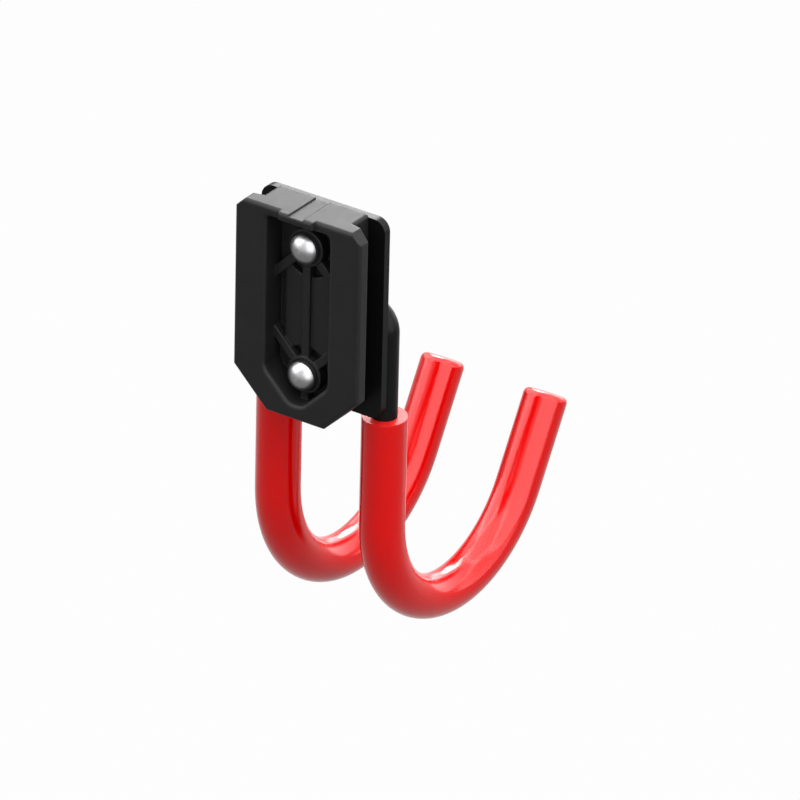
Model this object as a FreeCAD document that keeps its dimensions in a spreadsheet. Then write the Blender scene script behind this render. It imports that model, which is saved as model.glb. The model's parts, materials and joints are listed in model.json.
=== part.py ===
import FreeCAD, Part
import math
import os
import Sketcher

os.makedirs("parts", exist_ok=True)

# Wall hook on a slide-in cleat. Millimetres.
# X runs across the plate, Y points to the wall, Z is up.
# The flat face of the cleat that rests on the wall side lies on Y = 0, its bottom edge on Z = 0.

doc = FreeCAD.newDocument("hook")
V = FreeCAD.Vector

sheet = doc.addObject("Spreadsheet::Sheet", "Sizes")
CELLS = [
    # cleat, outer form
    ("cleat_width", 53.8, "across the two flanges"),
    ("cleat_height", 81.6, "bottom edge to top edge"),
    ("cleat_depth", 16.0, "wall-side face to back plate"),
    ("flange_reach", 7.5, "flange beyond the neck on each side, the depth of the side grooves"),
    ("flange_edge", 4.9, "flange thickness at its outer edge"),
    ("flange_root", 6.5, "flange thickness where it joins the neck"),
    ("shoulder_cut", 4.0, "corner cut at the top of each flange"),
    ("lead_cut", 14.5, "corner cut at the bottom, guides the cleat in"),
    ("face_radius", 1.5, "rounding round the wall-side face"),
    ("neck_radius", 1.4, "rounding of the neck's top edges"),
    # cleat, pocket on the wall side
    ("pocket_wall", 5.8, "neck's side to the pocket at the face"),
    ("pocket_top_wall", 4.0, "top edge to the pocket at the face"),
    ("pocket_base", 5.9, "height of the lowest wall at the face"),
    ("pocket_base_width", 5.6, "between the slanting lower corners"),
    ("pocket_depth", 10.4, "face to pocket floor"),
    ("pocket_draft", 1.5, "degrees, all pocket walls"),
    ("pocket_round", 5.6, "radius between the slants and the base"),
    ("pocket_corner", 1.6, "radius of the upper corners"),
    ("rim_radius", 1.6, "rounding of the pocket's rim"),
    # cleat, ribs and bosses inside the pocket
    ("rib_width", 3.3, "all ribs"),
    ("rib_level", 6.2, "face to the top of the ribs"),
    ("rib_sink", 1.0, "slanting ribs beyond the pocket's side walls"),
    ("web_side_gap", 4.15, "raised middle panel to the pocket's side at the face"),
    ("web_level", 7.5, "face to the middle panel"),
    ("boss_radius", 7.25, ""),
    ("upper_clearing", 2.65, "radius of the clearing round the upper boss, beyond half the panel's width"),
    ("lower_clearing", 1.15, "the same round the lower boss"),
    ("boss_level", 5.7, "face to the top of the bosses"),
    ("edge_radius", 0.4, "rounding of the front edges of ribs, panel and bosses"),
    ("seat_rim", 1.3, "boss wall round the seat of the rivet head"),
    ("seat_depth", 0.5, ""),
    # cleat, top
    ("groove_width", 6.3, ""),
    ("groove_depth", 0.5, ""),
    ("nib_width", 15.0, "small stop above the pocket"),
    ("nib_height", 3.3, ""),
    ("nib_reach", 1.8, ""),
    ("nib_radius", 1.3, ""),
    # back plate
    ("plate_side_inset", 0.35, "plate's side edge inside the cleat's"),
    ("plate_top_inset", 1.0, ""),
    ("plate_bottom_inset", 1.4, ""),
    ("plate_thickness", 3.2, ""),
    ("plate_corner", 5.0, ""),
    # rivets
    ("rivet_low", 15.9, "bottom edge to the lower rivet"),
    ("rivet_top_inset", 14.9, "top edge to the upper rivet"),
    ("head_gap", 0.35, "rivet head to the wall of its seat"),
    ("head_skirt", 2.2, "straight side of the rivet head"),
    ("head_height", 5.4, "whole head, skirt and dome"),
    ("shank_radius", 3.15, ""),
    ("shank_clearance", 0.1, "hole wall to shank"),
    ("tail_radius", 5.0, ""),
    ("tail_height", 2.2, ""),
    # rod
    ("rod_diameter", 9.5, ""),
    ("arm_inset", 3.75, "plate's side edge to the middle of the arm"),
    ("bar_height", 40.4, "middle of the cross bar"),
    ("bar_bend", 7.9, "bend radius of the cross bar, to the middle"),
    ("arm_turn_height", -44.3, "where the legs begin to curve"),
    ("arm_bend", 47.9, "bend radius of the arms, to the middle"),
    ("arm_angle", 150.2, "degrees turned by each arm"),
    ("arm_tip", 35.0, "straight end of each arm, with its sleeve"),
    ("rod_end_cut", 1.0, "chamfer on the rod's ends"),
    # sleeves
    ("sleeve_wall", 3.55, ""),
    ("sleeve_top", -1.0, ""),
    ("sleeve_cap", 3.4, "closed end beyond the rod"),
    ("sleeve_end_radius", 2.3, ""),
    ("sleeve_clearance", 0.05, "rod to sleeve"),
    # weld beads
    ("weld_leg", 4.2, "middle of the leg to the bead's far side, on the plate"),
    ("weld_toe", 1.2, ""),
    ("weld_bottom", 6.0, "height of the bead's lower end"),
    ("weld_bend_gap", 2.5, "bead's upper end to the cross bar's bend"),
    # what follows from the sizes above
    ("neck_width", "=cleat_width - 2 * flange_reach", ""),
    ("pocket_width", "=neck_width - 2 * pocket_wall", ""),
    ("pocket_top", "=cleat_height - pocket_top_wall", ""),
    ("pocket_cut", "=(pocket_width - pocket_base_width) / 2", ""),
    ("rib_reach", "=pocket_width / 2 + rib_sink", ""),
    ("web_width", "=pocket_width - 2 * web_side_gap", ""),
    ("upper_ring_radius", "=web_width / 2 + upper_clearing", ""),
    ("lower_ring_radius", "=web_width / 2 + lower_clearing", ""),
    ("seat_radius", "=boss_radius - seat_rim", ""),
    ("head_radius", "=seat_radius - head_gap", ""),
    ("plate_width", "=cleat_width - 2 * plate_side_inset", ""),
    ("plate_top", "=cleat_height - plate_top_inset", ""),
    ("rivet_high", "=cleat_height - rivet_top_inset", ""),
    ("arm_spacing", "=plate_width - 2 * arm_inset", ""),
    ("weld_length", "=bar_height - bar_bend - weld_bend_gap - weld_bottom", ""),
]
for row, (name, value, note) in enumerate(CELLS, start=1):
    sheet.set(f"A{row}", name)
    sheet.setAlias(f"B{row}", name)
    sheet.set(f"B{row}", str(value))
    sheet.set(f"C{row}", note)
doc.recompute()


def S(text):
    """An expression in which every cell name is written out in full."""
    words = {name for name, _, _ in CELLS}
    out, word = "", ""
    for ch in text + " ":
        if ch.isalnum() or ch == "_":
            word += ch
            continue
        out += f"Sizes.{word}" if word in words else word
        word = ""
        out += ch
    return out.strip()


def plane(body, role):
    return next(f for f in body.Origin.OriginFeatures if f.Role == role)


def sketch(body, name, role, lift="0"):
    """A sketch on one of the body's own planes, lifted along the plane's normal."""
    sk = body.newObject("Sketcher::SketchObject", name)
    sk.AttachmentSupport = [(plane(body, role), "")]
    sk.MapMode = "FlatFace"
    if lift != "0":
        sk.setExpression("AttachmentOffset.Base.z", S(lift))
    return sk


def now(text):
    """The number that an expression of cell names gives at present, used to place a point."""
    return float(sheet.evalExpression(S(text)))


def size(name):
    return float(sheet.get(name))


def pin(sk, geo, pos, x, y):
    """Ties a point to expressions for its two coordinates."""
    for kind, axis, text in (("DistanceX", -2, x), ("DistanceY", -1, y)):
        if text == "0":
            sk.addConstraint(Sketcher.Constraint("PointOnObject", geo, pos, axis))
            continue
        n = sk.addConstraint(Sketcher.Constraint(kind, -1, 1, geo, pos, now(text)))
        sk.setExpression(f"Constraints[{n}]", S(text))


def outline(sk, points):
    """A closed outline of straight lines through points given as pairs of expressions."""
    at = [V(now(x), now(y), 0) for x, y in points]
    first = sk.GeometryCount
    count = len(points)
    for i in range(count):
        sk.addGeometry(Part.LineSegment(at[i], at[(i + 1) % count]), False)
    for i in range(count):
        sk.addConstraint(Sketcher.Constraint("Coincident", first + i, 2, first + (i + 1) % count, 1))
    for i, (x, y) in enumerate(points):
        pin(sk, first + i, 1, x, y)
    return first


def circle(sk, x, y, radius):
    g = sk.addGeometry(Part.Circle(V(now(x), now(y), 0), V(0, 0, 1), now(radius)), False)
    pin(sk, g, 3, x, y)
    n = sk.addConstraint(Sketcher.Constraint("Radius", g, now(radius)))
    sk.setExpression(f"Constraints[{n}]", S(radius))
    return g


def join(sk, arc, line, point):
    """Makes the arc's end that lies on a point coincide with a line's end there."""
    ends = {1: sk.getPoint(arc, 1), 2: sk.getPoint(arc, 2)}
    pos = min(ends, key=lambda p: (ends[p] - point).Length)
    ends = {1: sk.getPoint(line, 1), 2: sk.getPoint(line, 2)}
    line_pos = min(ends, key=lambda p: (ends[p] - point).Length)
    sk.addConstraint(Sketcher.Constraint("Coincident", arc, pos, line, line_pos))


def pad(body, name, sk, length, reverse=False, both=False):
    f = body.newObject("PartDesign::Pad", name)
    f.Profile = sk
    f.Reversed = reverse
    f.Midplane = both
    f.setExpression("Length", S(length))
    sk.Visibility = False
    return f


def pocket(body, name, sk, length=None, reverse=False, draft=None, both=False):
    f = body.newObject("PartDesign::Pocket", name)
    f.Profile = sk
    f.Reversed = reverse
    f.Midplane = both
    if length is None:
        f.Type = "ThroughAll"
    else:
        f.setExpression("Length", S(length))
    if draft:
        f.setExpression("TaperAngle", S(draft))
    sk.Visibility = False
    return f


def edges_where(feature, test):
    """Names of the edges whose ends and middle all pass a test."""
    names = []
    for i, e in enumerate(feature.Shape.Edges, start=1):
        mid = e.valueAt(e.FirstParameter + (e.LastParameter - e.FirstParameter) / 2)
        if all(test(p) for p in [v.Point for v in e.Vertexes] + [mid]):
            names.append(f"Edge{i}")
    return names


def fillet(body, name, base, names, radius):
    f = body.newObject("PartDesign::Fillet", name)
    f.Base = (base, names)
    f.setExpression("Radius", S(radius))
    return f


def near(a, b, tol=0.01):
    return abs(a - b) < tol


# The cleat: a T-section block with its corners cut, then the pocket and what stands in it.
cleat = doc.addObject("PartDesign::Body", "cleat")
hw, nw = "cleat_width / 2", "neck_width / 2"
sk = sketch(cleat, "cleat_section", "XY_Plane")
outline(sk, [
    (hw, "0"), (hw, "-flange_edge"), (nw, "-flange_root"), (nw, "-cleat_depth"),
    ("-" + nw, "-cleat_depth"), ("-" + nw, "-flange_root"), ("-" + hw, "-flange_edge"), ("-" + hw, "0"),
])
block = pad(cleat, "cleat_block", sk, "cleat_height")

sk = sketch(cleat, "corner_outline", "XZ_Plane")
for side in ("", "-"):
    outline(sk, [(f"{side}({hw})", "cleat_height - shoulder_cut"), (f"{side}({hw})", "cleat_height"),
                 (f"{side}({hw} - shoulder_cut)", "cleat_height")])
    outline(sk, [(f"{side}({hw})", "lead_cut"), (f"{side}({hw})", "0"), (f"{side}({hw} - lead_cut)", "0")])
pocket(cleat, "corner_cuts", sk, reverse=True)

pw = "pocket_width / 2"
sk = sketch(cleat, "pocket_outline", "XZ_Plane")
outline(sk, [
    (pw, "pocket_top"), (f"-({pw})", "pocket_top"), (f"-({pw})", "pocket_base + pocket_cut"),
    (f"-({pw} - pocket_cut)", "pocket_base"), (f"{pw} - pocket_cut", "pocket_base"),
    (pw, "pocket_base + pocket_cut"),
])
hollow = pocket(cleat, "hollow", sk, "pocket_depth", reverse=True, draft="-pocket_draft")
doc.recompute()


def in_pocket(p):
    inside = abs(p.x) < size("pocket_width") / 2 + 0.01
    return inside and size("pocket_base") - 0.01 < p.z < size("pocket_top") + 0.01


def pocket_corners(side_z):
    """The pocket's edges that run from the face to the floor, at corners picked by height."""
    names = []
    for i, e in enumerate(cleat.Tip.Shape.Edges, start=1):
        ends = [v.Point for v in e.Vertexes]
        if len(ends) != 2 or not all(in_pocket(p) for p in ends):
            continue
        depths = sorted(-p.y for p in ends)
        if near(depths[0], 0) and near(depths[1], size("pocket_depth")):
            top = max(ends, key=lambda p: p.y)
            if side_z(top.z):
                names.append(f"Edge{i}")
    return names


low = pocket_corners(lambda z: z < size("pocket_base") + size("pocket_cut") + 1)
fillet(cleat, "pocket_base_rounds", cleat.Tip, low, "pocket_round")
doc.recompute()
high = pocket_corners(lambda z: z > size("pocket_top") - 1)
fillet(cleat, "pocket_top_rounds", cleat.Tip, high, "pocket_corner")
doc.recompute()

on_face = edges_where(cleat.Tip, lambda p: near(p.y, 0) and in_pocket(p))
fillet(cleat, "pocket_rim", cleat.Tip, on_face, "rim_radius")
doc.recompute()
round_face = edges_where(cleat.Tip, lambda p: near(p.y, 0) and (
    near(abs(p.x), size("cleat_width") / 2) or near(p.z, 0) or near(p.z, size("cleat_height"))
    or near(abs(p.x) + size("cleat_height") - p.z, size("cleat_width") / 2 + size("shoulder_cut"))
    or near(abs(p.x) - p.z, size("cleat_width") / 2 - size("lead_cut"))))
fillet(cleat, "face_rounds", cleat.Tip, round_face, "face_radius")
doc.recompute()
along_neck = edges_where(cleat.Tip, lambda p: near(abs(p.x), size("neck_width") / 2)
                         and near(p.z, size("cleat_height")))
fillet(cleat, "neck_rounds", cleat.Tip, along_neck, "neck_radius")


def half_disc(sk, middle, radius, way):
    """Half of a disc about a boss, on the side towards the other boss."""
    r, z = size(radius), size(middle)
    at = [V(r, z, 0), V(-r, z, 0)]
    sk.addGeometry(Part.LineSegment(at[0], at[1]), False)
    line = sk.GeometryCount - 1
    arc = sk.addGeometry(Part.Arc(at[0], V(0, z - r if way else z + r, 0), at[1]), False)
    for k in (0, 1):
        join(sk, arc, line, at[k])
    pin(sk, line, 1, radius, middle)
    pin(sk, line, 2, "-" + radius, middle)
    sk.addConstraint(Sketcher.Constraint("PointOnObject", arc, 3, line))


# Middle panel, cleared round each boss.
high_z, low_z = "rivet_high", "rivet_low"
sk = sketch(cleat, "web_outline", "XZ_Plane", "pocket_depth")
outline(sk, [("web_width / 2", low_z), ("web_width / 2", high_z),
             ("-web_width / 2", high_z), ("-web_width / 2", low_z)])
pad(cleat, "web", sk, "pocket_depth - web_level", reverse=True)
sk = sketch(cleat, "rings_outline", "XZ_Plane", "web_level")
half_disc(sk, high_z, "upper_ring_radius", "-")
half_disc(sk, low_z, "lower_ring_radius", "")
pocket(cleat, "rings", sk, "pocket_depth - web_level", reverse=True)

# One upright rib through both bosses and two pairs of slanting ribs.
sk = sketch(cleat, "upright_rib_outline", "XZ_Plane", "pocket_depth")
outline(sk, [("rib_width / 2", "pocket_base - 1"), ("rib_width / 2", "pocket_top + 1"),
             ("-rib_width / 2", "pocket_top + 1"), ("-rib_width / 2", "pocket_base - 1")])
pad(cleat, "upright_rib", sk, "pocket_depth - rib_level", reverse=True)
for name, middle, way in (("lower_slanting_ribs", low_z, "+"), ("upper_slanting_ribs", high_z, "-")):
    sk = sketch(cleat, name + "_outline", "XZ_Plane", "pocket_depth")
    half = "rib_width * sqrt(2) / 2"
    outline(sk, [
        ("rib_reach", f"{middle} {way} rib_reach + {half}"), ("0", f"{middle} + {half}"),
        ("-rib_reach", f"{middle} {way} rib_reach + {half}"),
        ("-rib_reach", f"{middle} {way} rib_reach - {half}"),
        ("0", f"{middle} - {half}"), ("rib_reach", f"{middle} {way} rib_reach - {half}"),
    ])
    pad(cleat, name, sk, "pocket_depth - rib_level", reverse=True)


def beside_rib(edge):
    """Whether an edge runs along a rib's side."""
    if not isinstance(edge.Curve, Part.Line):
        return False
    way = edge.tangentAt(edge.FirstParameter)
    return near(abs(way.x), abs(way.z)) or near(way.x, 0) and abs(edge.CenterOfMass.x) < size("rib_width")


def on_arc(edge):
    return isinstance(edge.Curve, Part.Circle)


def round_boss(edge):
    return on_arc(edge) and near(edge.Curve.Radius, size("boss_radius"))


# Bosses, the rivet heads' seats and the rivet holes.
for name, lift, radius, length in (
    ("bosses", "pocket_depth", "boss_radius", "pocket_depth - boss_level"),
    ("seats", "boss_level", "seat_radius", "seat_depth"),
    ("rivet_holes", "0", "shank_radius + shank_clearance", None),
):
    sk = sketch(cleat, name + "_outline", "XZ_Plane", lift)
    circle(sk, "0", high_z, radius)
    circle(sk, "0", low_z, radius)
    if name == "bosses":
        pad(cleat, name, sk, length, reverse=True)
    else:
        pocket(cleat, name, sk, length, reverse=True)
doc.recompute()
for level, what, test in (
    ("rib_level", "rib", beside_rib), ("boss_level", "boss", round_boss), ("web_level", "web", on_arc),
):
    front = edges_where(cleat.Tip, lambda p: near(-p.y, size(level)) and in_pocket(p))
    front = [n for n in front if test(cleat.Tip.Shape.getElement(n))]
    fillet(cleat, what + "_edges", cleat.Tip, front, "edge_radius")
    doc.recompute()

# Stop nib above the pocket, and the shallow groove along the top.
sk = sketch(cleat, "nib_outline", "XZ_Plane", "face_radius + 0.5")
outline(sk, [("nib_width / 2", "cleat_height"), ("-nib_width / 2", "cleat_height"),
             ("-nib_width / 2", "cleat_height - nib_height"), ("nib_width / 2", "cleat_height - nib_height")])
pad(cleat, "nib", sk, "nib_reach + face_radius + 0.5", reverse=True)
doc.recompute()
tip_y = size("nib_reach")
nib_front = edges_where(cleat.Tip, lambda p: near(p.y, tip_y))
fillet(cleat, "nib_rounds", cleat.Tip, nib_front, "nib_radius")
sk = sketch(cleat, "groove_outline", "XY_Plane", "cleat_height")
outline(sk, [("groove_width / 2", "nib_reach + 1"), ("-groove_width / 2", "nib_reach + 1"),
             ("-groove_width / 2", "-cleat_depth - 1"), ("groove_width / 2", "-cleat_depth - 1")])
pocket(cleat, "groove", sk, "groove_depth")
doc.recompute()

# The back plate.
back_plate = doc.addObject("PartDesign::Body", "back_plate")
sk = sketch(back_plate, "plate_outline", "XZ_Plane", "cleat_depth")
outline(sk, [("plate_width / 2", "plate_bottom_inset"), ("plate_width / 2", "plate_top"),
             ("-plate_width / 2", "plate_top"), ("-plate_width / 2", "plate_bottom_inset")])
pad(back_plate, "plate_blank", sk, "plate_thickness")
doc.recompute()
plate_y = size("cleat_depth") + size("plate_thickness") / 2
corners = [f"Edge{i}" for i, e in enumerate(back_plate.Tip.Shape.Edges, start=1)
           if near(e.CenterOfMass.y, -plate_y) and near(e.Length, size("plate_thickness"))]
fillet(back_plate, "plate_corners", back_plate.Tip, corners, "plate_corner")
sk = sketch(back_plate, "plate_holes_outline", "XZ_Plane", "cleat_depth")
circle(sk, "0", high_z, "shank_radius + shank_clearance")
circle(sk, "0", low_z, "shank_radius + shank_clearance")
pocket(back_plate, "plate_holes", sk, both=True)


# Two solid rivets with domed heads in the pocket and low heads behind the plate.
def rivet(name, middle):
    body = doc.addObject("PartDesign::Body", name)
    sk = sketch(body, name + "_section", "YZ_Plane")
    seat, back = "-(boss_level + seat_depth)", "-(cleat_depth + plate_thickness)"
    crown, foot = f"{seat} + head_height", f"{back} - tail_height"
    points = [(crown, middle), (foot, middle), (back, f"{middle} + tail_radius"),
              (back, f"{middle} + shank_radius"),
              (seat, f"{middle} + shank_radius"), (seat, f"{middle} + head_radius"),
              (f"{seat} + head_skirt", f"{middle} + head_radius")]
    at = [V(now(x), now(y), 0) for x, y in points]
    sk.addGeometry(Part.LineSegment(at[0], at[1]), False)
    for i in (2, 3, 4, 5):
        sk.addGeometry(Part.LineSegment(at[i], at[i + 1]), False)
    r, h = size("tail_radius"), size("tail_height")
    big = (r * r + h * h) / (2 * h)
    mid = at[1] + V(big, 0, 0)
    sk.addGeometry(Part.Arc(at[1], arc_middle(mid, big, at[1], at[2]), at[2]), False)
    r, h = size("head_radius"), size("head_height") - size("head_skirt")
    big = (r * r + h * h) / (2 * h)
    mid = at[0] - V(big, 0, 0)
    sk.addGeometry(Part.Arc(at[6], arc_middle(mid, big, at[0], at[6]), at[0]), False)
    for i, j in ((1, 2), (2, 3), (3, 4)):
        sk.addConstraint(Sketcher.Constraint("Coincident", i, 2, j, 1))
    for arc, line, k in ((5, 0, 1), (5, 1, 2), (6, 4, 6), (6, 0, 0)):
        join(sk, arc, line, at[k])
    for geo, pos, k in ((0, 1, 0), (0, 2, 1), (1, 1, 2), (1, 2, 3), (2, 2, 4), (3, 2, 5), (4, 2, 6)):
        pin(sk, geo, pos, *points[k])
    for arc in (5, 6):
        sk.addConstraint(Sketcher.Constraint("PointOnObject", arc, 3, 0))
    spin = body.newObject("PartDesign::Revolution", name + "_form")
    spin.Profile = sk
    spin.ReferenceAxis = (sk, ["Edge1"])
    spin.Angle = 360
    sk.Visibility = False
    return body


def arc_middle(centre, radius, a, b):
    half = ((a - centre) + (b - centre)).normalize()
    return centre + half * radius


upper_rivet = rivet("upper_rivet", high_z)
lower_rivet = rivet("lower_rivet", low_z)
doc.recompute()


# The rod and its sleeves follow the same lines.
rod_y = "cleat_depth + plate_thickness + rod_diameter / 2"
arm_x = "arm_spacing / 2"


def arm_path(body, name, top, tip):
    """Down the leg, round the arm's bend and out along its straight end."""
    sk = sketch(body, name, "YZ_Plane", arm_x)
    y0, z0, z1, r = now(f"-({rod_y})"), now(top), size("arm_turn_height"), size("arm_bend")
    turn = math.radians(size("arm_angle"))
    centre = V(y0 - r, z1, 0)

    def on_bend(t):
        return centre + V(math.cos(t), -math.sin(t), 0) * r

    end = on_bend(turn)
    way = V(-math.sin(turn), -math.cos(turn), 0)
    sk.addGeometry(Part.LineSegment(V(y0, z0, 0), V(y0, z1, 0)), False)
    sk.addGeometry(Part.Arc(on_bend(0), on_bend(turn / 2), end), False)
    sk.addGeometry(Part.LineSegment(end, end + way * now(tip)), False)
    first = 1 if (sk.getPoint(1, 1) - on_bend(0)).Length < 0.01 else 2
    pin(sk, 0, 1, f"-({rod_y})", top)
    sk.addConstraint(Sketcher.Constraint("Vertical", 0))
    n = sk.addConstraint(Sketcher.Constraint("DistanceY", -1, 1, 0, 2, z1))
    sk.setExpression(f"Constraints[{n}]", S("arm_turn_height"))
    sk.addConstraint(Sketcher.Constraint("Tangent", 0, 2, 1, first))
    sk.addConstraint(Sketcher.Constraint("Tangent", 1, 3 - first, 2, 1))
    n = sk.addConstraint(Sketcher.Constraint("Radius", 1, r))
    sk.setExpression(f"Constraints[{n}]", S("arm_bend"))
    n = sk.addConstraint(Sketcher.Constraint("Distance", 2, now(tip)))
    sk.setExpression(f"Constraints[{n}]", S(tip))
    n = sk.addConstraint(Sketcher.Constraint("Angle", 2, math.radians(270) - turn))
    sk.setExpression(f"Constraints[{n}]", S("(270 - arm_angle) * 1 deg"))
    sk.Visibility = False
    return sk


def ring(body, name, radius, level):
    """A circle round the leg at a given height."""
    sk = sketch(body, name, "XY_Plane", level)
    circle(sk, arm_x, f"-({rod_y})", radius)
    return sk


def sweep(body, name, profile, path, kind="Additive"):
    f = body.newObject(f"PartDesign::{kind}Pipe", name)
    f.Profile = profile
    f.Spine = (path, [f"Edge{i + 1}" for i in range(path.GeometryCount)])
    profile.Visibility = False
    return f


hook_rod = doc.addObject("PartDesign::Body", "hook_rod")
bar = sketch(hook_rod, "cross_bar_path", "XZ_Plane", rod_y)
x0, top, bend = now(arm_x), size("bar_height"), size("bar_bend")
diag = bend * math.sqrt(0.5)
bar.addGeometry(Part.LineSegment(V(x0, 0, 0), V(x0, top - bend, 0)), False)
side = V(x0 - bend + diag, top - bend + diag, 0)
bar.addGeometry(Part.Arc(V(x0, top - bend, 0), side, V(x0 - bend, top, 0)), False)
bar.addGeometry(Part.LineSegment(V(x0 - bend, top, 0), V(bend - x0, top, 0)), False)
side = V(-side.x, side.y, 0)
bar.addGeometry(Part.Arc(V(bend - x0, top, 0), side, V(-x0, top - bend, 0)), False)
bar.addGeometry(Part.LineSegment(V(-x0, top - bend, 0), V(-x0, 0, 0)), False)
pin(bar, 0, 1, arm_x, "0")
pin(bar, 4, 2, f"-{arm_x}", "0")
for line in (0, 4):
    bar.addConstraint(Sketcher.Constraint("Vertical", line))
bar.addConstraint(Sketcher.Constraint("Horizontal", 2))
n = bar.addConstraint(Sketcher.Constraint("DistanceY", -1, 1, 2, 1, top))
bar.setExpression(f"Constraints[{n}]", S("bar_height"))
for arc, before, after in ((1, 0, 2), (3, 2, 4)):
    start = (bar.getPoint(arc, 1) - bar.getPoint(before, 2)).Length < 0.01
    bar.addConstraint(Sketcher.Constraint("Tangent", before, 2, arc, 1 if start else 2))
    bar.addConstraint(Sketcher.Constraint("Tangent", arc, 2 if start else 1, after, 1))
n = bar.addConstraint(Sketcher.Constraint("Radius", 1, bend))
bar.setExpression(f"Constraints[{n}]", S("bar_bend"))
bar.addConstraint(Sketcher.Constraint("Equal", 1, 3))
bar.Visibility = False
doc.recompute()
sweep(hook_rod, "cross_bar", ring(hook_rod, "cross_bar_ring", "rod_diameter / 2", "0"), bar)
doc.recompute()
rod_arm = sweep(hook_rod, "arm", ring(hook_rod, "arm_ring", "rod_diameter / 2", "0"),
                arm_path(hook_rod, "arm_line", "0", "arm_tip - sleeve_cap"))
doc.recompute()
twin = hook_rod.newObject("PartDesign::Mirrored", "second_arm")
twin.Originals = [rod_arm]
twin.MirrorPlane = (plane(hook_rod, "YZ_Plane"), [""])
hook_rod.Tip = twin
doc.recompute()
ends = [f"Edge{i}" for i, e in enumerate(twin.Shape.Edges, start=1)
        if near(e.Length, math.pi * size("rod_diameter"), 0.05)
        and e.CenterOfMass.y < now(f"-({rod_y}) - arm_bend")]
cut = hook_rod.newObject("PartDesign::Chamfer", "rod_end_cuts")
cut.Base = (twin, ends)
cut.setExpression("Size", S("rod_end_cut"))
doc.recompute()

right_sleeve = doc.addObject("PartDesign::Body", "right_sleeve")
bore = "rod_diameter / 2 + sleeve_clearance"
outer_ring = ring(right_sleeve, "sleeve_ring", f"{bore} + sleeve_wall", "sleeve_top")
sleeve_line = arm_path(right_sleeve, "sleeve_line", "sleeve_top", "arm_tip")
sweep(right_sleeve, "sleeve_outside", outer_ring, sleeve_line)
doc.recompute()
tip_edge = [f"Edge{i}" for i, e in enumerate(right_sleeve.Tip.Shape.Edges, start=1)
            if near(e.Length, 2 * math.pi * now(f"{bore} + sleeve_wall"), 0.05)
            and e.CenterOfMass.y < now(f"-({rod_y}) - arm_bend - 5")]
tip_edge = sorted(tip_edge, key=lambda n: right_sleeve.Tip.Shape.getElement(n).CenterOfMass.z)[-1:]
fillet(right_sleeve, "sleeve_end_round", right_sleeve.Tip, tip_edge, "sleeve_end_radius")
doc.recompute()
bore_line = arm_path(right_sleeve, "bore_line", "sleeve_top", "arm_tip - sleeve_cap + sleeve_clearance")
bore_ring = ring(right_sleeve, "bore_ring", bore, "sleeve_top")
sweep(right_sleeve, "sleeve_bore", bore_ring, bore_line, "Subtractive")
doc.recompute()

# A bead in the corner between the plate and the inner side of each leg.
right_weld = doc.addObject("PartDesign::Body", "right_weld")
back = "-(cleat_depth + plate_thickness)"
sk = sketch(right_weld, "bead_outline", "XY_Plane", "weld_bottom")
outline(sk, [
    (f"{arm_x} - weld_leg - weld_toe", back), (f"{arm_x} - weld_toe", back),
    (f"{arm_x} - weld_toe", f"{back} - rod_diameter / 4"),
    (f"{arm_x} - weld_leg", f"{back} - rod_diameter / 2 + sqrt(rod_diameter ^ 2 / 4 - weld_leg ^ 2)"),
])
pad(right_weld, "bead", sk, "weld_length")
rod_outline = ring(right_weld, "rod_outline", "rod_diameter / 2", "weld_bottom")
pocket(right_weld, "bead_against_rod", rod_outline, both=True)
doc.recompute()

pairs = []
for source, name in ((right_sleeve, "left_sleeve"), (right_weld, "left_weld")):
    m = doc.addObject("Part::Mirroring", name)
    m.Source = source
    m.Normal = V(1, 0, 0)
    pairs.append(m)
doc.recompute()

for o in doc.Objects:
    if "Invalid" in o.State or "Error" in o.State:
        raise RuntimeError(f"{o.Name} did not rebuild: {o.State}")

for o in [cleat, back_plate, hook_rod, right_sleeve, right_weld, upper_rivet, lower_rivet] + pairs:
    o.Label = o.Name
    if o.Shape.isNull() or not o.Shape.isValid() or len(o.Shape.Solids) != 1:
        raise RuntimeError(f"{o.Name} is not one sound solid")
    o.Shape.exportStep(f"parts/{o.Name}.step")
    box = o.Shape.optimalBoundingBox(True, False)
    print(f"{o.Name:13s} {o.Shape.Volume:9.1f} mm3  x {box.XMin:.1f} {box.XMax:.1f}"
          f"  y {box.YMin:.1f} {box.YMax:.1f}  z {box.ZMin:.1f} {box.ZMax:.1f}")
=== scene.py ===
import json
import math

import bpy
from mathutils import Matrix, Vector


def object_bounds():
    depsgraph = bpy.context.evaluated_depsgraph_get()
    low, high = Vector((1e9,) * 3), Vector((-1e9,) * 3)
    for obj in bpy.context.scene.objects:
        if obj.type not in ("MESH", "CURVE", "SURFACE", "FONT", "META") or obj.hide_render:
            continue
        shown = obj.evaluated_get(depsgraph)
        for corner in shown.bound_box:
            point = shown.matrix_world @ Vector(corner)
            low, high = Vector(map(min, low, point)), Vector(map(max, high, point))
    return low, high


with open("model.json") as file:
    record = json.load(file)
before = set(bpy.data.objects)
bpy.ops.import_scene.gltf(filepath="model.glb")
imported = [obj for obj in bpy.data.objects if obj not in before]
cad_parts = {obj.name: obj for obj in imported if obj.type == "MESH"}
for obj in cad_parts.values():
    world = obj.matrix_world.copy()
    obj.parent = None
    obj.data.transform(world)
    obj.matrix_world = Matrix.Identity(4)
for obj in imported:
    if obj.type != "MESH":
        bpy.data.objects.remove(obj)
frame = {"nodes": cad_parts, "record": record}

cad_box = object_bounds()
scene = bpy.context.scene
scene.view_settings.view_transform = "Standard"

# The view: its angles, the distance to the origin along it in metres, the focal
# length in pixels, and where the origin lands in the square image.
VIEW_AZIMUTH = math.radians(33.658)
VIEW_ELEVATION = math.radians(28.313)
VIEW_ROLL = math.radians(-1.414)
VIEW_DISTANCE = 3.18986
FOCAL = 8965.9
IMAGE = 800
ORIGIN_AT = (293.65, 420.42)
SENSOR_MM = 36
CLIP_M = (0.1, 60)

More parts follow.
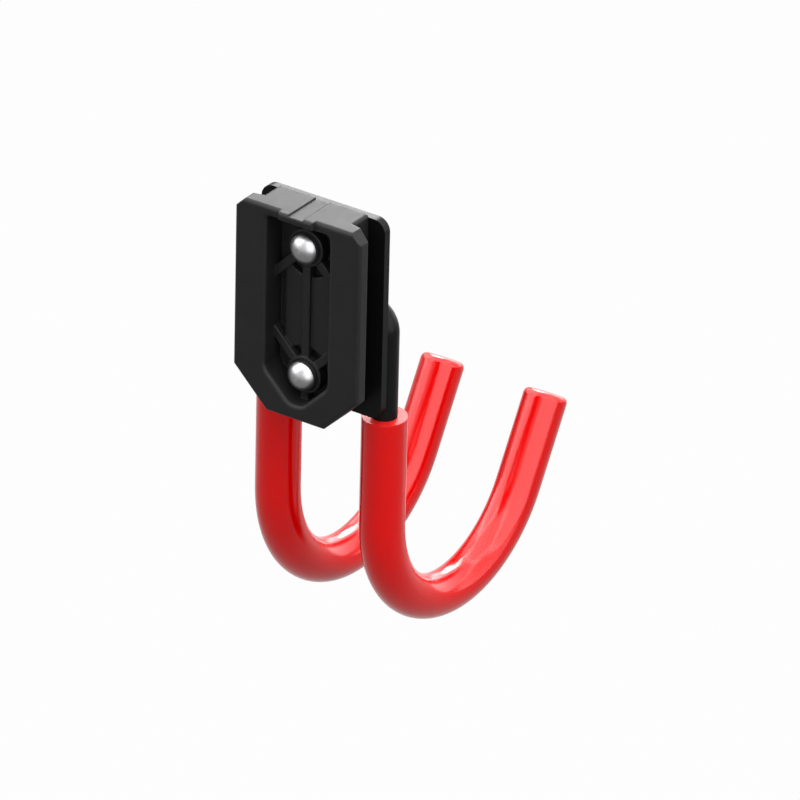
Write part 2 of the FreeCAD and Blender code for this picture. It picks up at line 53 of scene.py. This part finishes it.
# The floor: its half side and its drop below the object in metres, the tone
# that lights the object, and its share of white where it is seen.
FLOOR_HALF_SIDE = 12
FLOOR_DROP = 0.42
FLOOR_TONE = 0.12
FLOOR_WHITE = 0.98

# The world's strength: as light, and where it is seen.
AMBIENT = 0.6
WHITE = 1

# Lamps and panels face the object from a distance in metres. Azimuth 0 is the
# wall's side and 90 is +X. All angles are in degrees; width and height are as
# seen from the object, and the level is the brightness, where 1 is white.
LIGHT_DISTANCE = 2.4
PANEL_DISTANCE = 2.8
# Lamps that light surfaces: name, azimuth, elevation, width, height, level.
LIGHTS = (
    ("light_left", -80, 30, 50, 40, 3),
    ("light_front", -5, 10, 50, 40, 1.7),
    ("light_top", 0, 90, 60, 60, 4.2),
)
# Soft boxes that show only in gloss, in the same order of values.
PANELS = (
    ("panel_left", -66, 22, 80, 80, 8),
    ("panel_rear_left", -127, 27, 40, 66, 4),
    ("panel_behind", -180, 27, 64, 66, 4),
    ("panel_front", 2, 27, 54, 66, 2.4),
    ("panel_right", 62, 34, 66, 54, 9),
    ("panel_rear_right", 115, 34, 40, 54, 4),
    ("panel_top", 0, 90, 72, 72, 7),
    ("lamp_behind", 151, 28, 18, 32, 23),
)

# Positions of a noise's low and high value, which leave out its rare ends.
NOISE_SPAN = (0.3, 0.7)
# Radius over which the moulding's edges catch the light, in metres.
SOFT_EDGE = 0.0007
SOFT_EDGE_SAMPLES = 8
# Height above which a sleeve is its cut upper end, in metres.
CUT_END = -0.0013


def aim_camera():
    ca, sa = math.cos(VIEW_AZIMUTH), math.sin(VIEW_AZIMUTH)
    ce, se = math.cos(VIEW_ELEVATION), math.sin(VIEW_ELEVATION)
    cr, sr = math.cos(VIEW_ROLL), math.sin(VIEW_ROLL)
    right = Vector((-ca, -sa, 0))
    ahead = Vector((sa * ce, -ca * ce, -se))
    down = -Vector((sa * se, -ca * se, ce))
    across = right * cr + down * sr
    below = down * cr - right * sr
    x, y = [(at - IMAGE / 2) / FOCAL * VIEW_DISTANCE for at in ORIGIN_AT]
    place = -(across * x + below * y + ahead * VIEW_DISTANCE)
    data = bpy.data.cameras.new("camera")
    data.sensor_width = SENSOR_MM
    data.lens = FOCAL * SENSOR_MM / IMAGE
    data.clip_start, data.clip_end = CLIP_M
    camera = bpy.data.objects.new("camera", data)
    scene.collection.objects.link(camera)
    axes = Matrix((across, -below, -ahead)).transposed().to_4x4()
    camera.matrix_world = Matrix.Translation(place) @ axes
    scene.camera = camera


def node(tree, kind, **values):
    made = tree.nodes.new(kind)
    for key, value in values.items():
        setattr(made, key, value)
    return made


def empty_tree(owner):
    owner.use_nodes = True
    owner.node_tree.nodes.clear()
    return owner.node_tree


def seen(tree):
    """1 for camera, glossy and transmission rays, 0 for rays that light."""
    path = node(tree, "ShaderNodeLightPath")
    result = path.outputs["Is Camera Ray"]
    for other in ("Is Glossy Ray", "Is Transmission Ray"):
        either = node(tree, "ShaderNodeMath", operation="MAXIMUM")
        tree.links.new(result, either.inputs[0])
        tree.links.new(path.outputs[other], either.inputs[1])
        result = either.outputs[0]
    return result


def make_world():
    world = bpy.data.worlds.new("studio")
    tree = empty_tree(world)
    level = node(tree, "ShaderNodeMapRange")
    level.inputs["To Min"].default_value = AMBIENT
    level.inputs["To Max"].default_value = WHITE
    back = node(tree, "ShaderNodeBackground")
    out = node(tree, "ShaderNodeOutputWorld")
    tree.links.new(seen(tree), level.inputs["Value"])
    tree.links.new(level.outputs[0], back.inputs["Strength"])
    tree.links.new(back.outputs[0], out.inputs["Surface"])
    scene.world = world


def make_floor():
    low = cad_box[0][2] - FLOOR_DROP
    signs = ((-1, -1), (1, -1), (1, 1), (-1, 1))
    corners = [(x * FLOOR_HALF_SIDE, y * FLOOR_HALF_SIDE, low) for x, y in signs]
    mesh = bpy.data.meshes.new("floor")
    mesh.from_pydata(corners, [], [(0, 1, 2, 3)])
    floor = bpy.data.objects.new("floor", mesh)
    scene.collection.objects.link(floor)
    mat = bpy.data.materials.new("floor_paper")
    tree = empty_tree(mat)
    paper = node(tree, "ShaderNodeBsdfDiffuse")
    paper.inputs["Color"].default_value = (FLOOR_TONE, FLOOR_TONE, FLOOR_TONE, 1)
    white = node(tree, "ShaderNodeEmission")
    share = node(tree, "ShaderNodeMath", operation="MULTIPLY")
    share.inputs[1].default_value = FLOOR_WHITE
    mix = node(tree, "ShaderNodeMixShader")
    out = node(tree, "ShaderNodeOutputMaterial")
    tree.links.new(seen(tree), share.inputs[0])
    tree.links.new(share.outputs[0], mix.inputs[0])
    tree.links.new(paper.outputs[0], mix.inputs[1])
    tree.links.new(white.outputs[0], mix.inputs[2])
    tree.links.new(mix.outputs[0], out.inputs["Surface"])
    mesh.materials.append(mat)


def lamp(name, azimuth, elevation, width, height, level, distance, in_gloss):
    """A flat lamp that shows either in gloss or as light on surfaces."""
    centre = sum((Vector(corner) for corner in cad_box), Vector()) / 2
    az, el = math.radians(azimuth), math.radians(elevation)
    flat = math.cos(el)
    way = Vector((math.sin(az) * flat, math.cos(az) * flat, math.sin(el)))
    data = bpy.data.lights.new(name, "AREA")
    data.shape = "RECTANGLE"
    data.size = 2 * distance * math.tan(math.radians(width / 2))
    data.size_y = 2 * distance * math.tan(math.radians(height / 2))
    data.energy = level * math.pi * data.size * data.size_y
    made = bpy.data.objects.new(name, data)
    made.location = centre + way * distance
    made.rotation_euler = way.to_track_quat("Z", "Y").to_euler()
    made.visible_camera = False
    made.visible_glossy = in_gloss
    made.visible_diffuse = not in_gloss
    scene.collection.objects.link(made)


def noise(tree, scale, detail):
    """Noise over the object's own metres; scale is features per metre."""
    where = node(tree, "ShaderNodeTexCoord")
    made = node(tree, "ShaderNodeTexNoise")
    made.inputs["Scale"].default_value = scale
    made.inputs["Detail"].default_value = detail
    tree.links.new(where.outputs["Object"], made.inputs["Vector"])
    return made.outputs[0]


def vary(tree, target, scale, detail, low, high):
    """Drives a colour or a number between two values by a noise."""
    ramp = node(tree, "ShaderNodeValToRGB")
    ends = [v if isinstance(v, tuple) else (v, v, v) for v in (low, high)]
    for stop, at, value in zip(ramp.color_ramp.elements, NOISE_SPAN, ends):
        stop.position = at
        stop.color = (*value, 1)
    tree.links.new(noise(tree, scale, detail), ramp.inputs[0])
    tree.links.new(ramp.outputs[0], target)


def material(name, color, roughness, specular=0.5, metallic=0.0):
    mat = bpy.data.materials.new(name)
    tree = empty_tree(mat)
    out = node(tree, "ShaderNodeOutputMaterial")
    shader = node(tree, "ShaderNodeBsdfPrincipled")
    tree.links.new(shader.outputs[0], out.inputs["Surface"])
    shader.inputs["Base Color"].default_value = (*color, 1)
    shader.inputs["Roughness"].default_value = roughness
    shader.inputs["Specular IOR Level"].default_value = specular
    shader.inputs["Metallic"].default_value = metallic
    mat.diffuse_color = (*color, 1)
    return mat, tree, shader


def grain(tree, shader, scale, detail, depth, normal=None):
    """Fine bumps of a depth in metres, over another normal if one is given."""
    made = node(tree, "ShaderNodeBump")
    made.inputs["Strength"].default_value = 1
    made.inputs["Distance"].default_value = depth
    tree.links.new(noise(tree, scale, detail), made.inputs["Height"])
    if normal:
        tree.links.new(normal, made.inputs["Normal"])
    tree.links.new(made.outputs[0], shader.inputs["Normal"])


def above(tree, height):
    """1 where the object's own Z is over a height in metres."""
    where = node(tree, "ShaderNodeTexCoord")
    split = node(tree, "ShaderNodeSeparateXYZ")
    over = node(tree, "ShaderNodeMath", operation="GREATER_THAN")
    over.inputs[1].default_value = height
    tree.links.new(where.outputs["Object"], split.inputs[0])
    tree.links.new(split.outputs["Z"], over.inputs[0])
    return over.outputs[0]


def cleat_plastic():
    """Fine matt black moulding with softened edges."""
    black = (0.0095, 0.0095, 0.0098)
    dark, light = (0.0085, 0.0085, 0.0088), (0.0105, 0.0105, 0.0108)
    mat, tree, shader = material("cleat_plastic", black, roughness=0.46, specular=0.06)
    color, roughness = shader.inputs["Base Color"], shader.inputs["Roughness"]
    vary(tree, color, scale=90, detail=4, low=dark, high=light)
    vary(tree, roughness, scale=260, detail=3, low=0.45, high=0.49)
    edge = node(tree, "ShaderNodeBevel", samples=SOFT_EDGE_SAMPLES)
    edge.inputs["Radius"].default_value = SOFT_EDGE
    grain(tree, shader, scale=5200, detail=2, depth=0.000005, normal=edge.outputs[0])
    return mat


def black_steel():
    """Satin black coating with a slight orange peel."""
    black = (0.005, 0.005, 0.0052)
    dark, light = (0.0045, 0.0045, 0.0047), (0.0055, 0.0055, 0.0057)
    mat, tree, shader = material("black_steel", black, roughness=0.3, specular=0.04)
    color, roughness = shader.inputs["Base Color"], shader.inputs["Roughness"]
    vary(tree, color, scale=120, detail=4, low=dark, high=light)
    vary(tree, roughness, scale=340, detail=3, low=0.28, high=0.32)
    grain(tree, shader, scale=1500, detail=3, depth=0.000006)
    return mat


def red_sleeve():
    """Smooth soft red with a light sheen, matt where the sleeve is cut."""
    red, dark, light = (0.6, 0.0, 0.0), (0.59, 0.0, 0.0), (0.61, 0.0, 0.0)
    mat, tree, shader = material("red_sleeve", red, roughness=0.17, specular=0.17)
    vary(tree, shader.inputs["Base Color"], scale=60, detail=3, low=dark, high=light)
    sheen = node(tree, "ShaderNodeMix", data_type="FLOAT")
    tree.links.new(above(tree, CUT_END), sheen.inputs["Factor"])
    vary(tree, sheen.inputs["A"], scale=200, detail=3, low=0.16, high=0.18)
    vary(tree, sheen.inputs["B"], scale=900, detail=3, low=0.48, high=0.56)
    tree.links.new(sheen.outputs["Result"], shader.inputs["Roughness"])
    grain(tree, shader, scale=1300, detail=2, depth=0.000002)
    return mat


def rivet_steel():
    """Lightly polished steel."""
    grey = (0.15, 0.15, 0.153)
    dark, light = (0.142, 0.142, 0.145), (0.158, 0.158, 0.161)
    mat, tree, shader = material("rivet_steel", grey, roughness=0.36, metallic=1.0)
    color, roughness = shader.inputs["Base Color"], shader.inputs["Roughness"]
    vary(tree, color, scale=900, detail=3, low=dark, high=light)
    vary(tree, roughness, scale=1400, detail=3, low=0.34, high=0.38)
    grain(tree, shader, scale=2600, detail=3, depth=0.000001)
    return mat


aim_camera()
make_world()
make_floor()
for row in LIGHTS:
    lamp(*row, LIGHT_DISTANCE, in_gloss=False)
for row in PANELS:
    lamp(*row, PANEL_DISTANCE, in_gloss=True)

FINISHES = {
    "cleat_plastic": cleat_plastic(),
    "black_steel": black_steel(),
    "red_sleeve": red_sleeve(),
    "rivet_steel": rivet_steel(),
}
for part in frame["record"]["subparts"]:
    piece = frame["nodes"][part["node"]]
    finish = FINISHES[part["material_slot"]]
    if piece.material_slots:
        for slot in piece.material_slots:
            slot.material = finish
    else:
        piece.data.materials.append(finish)
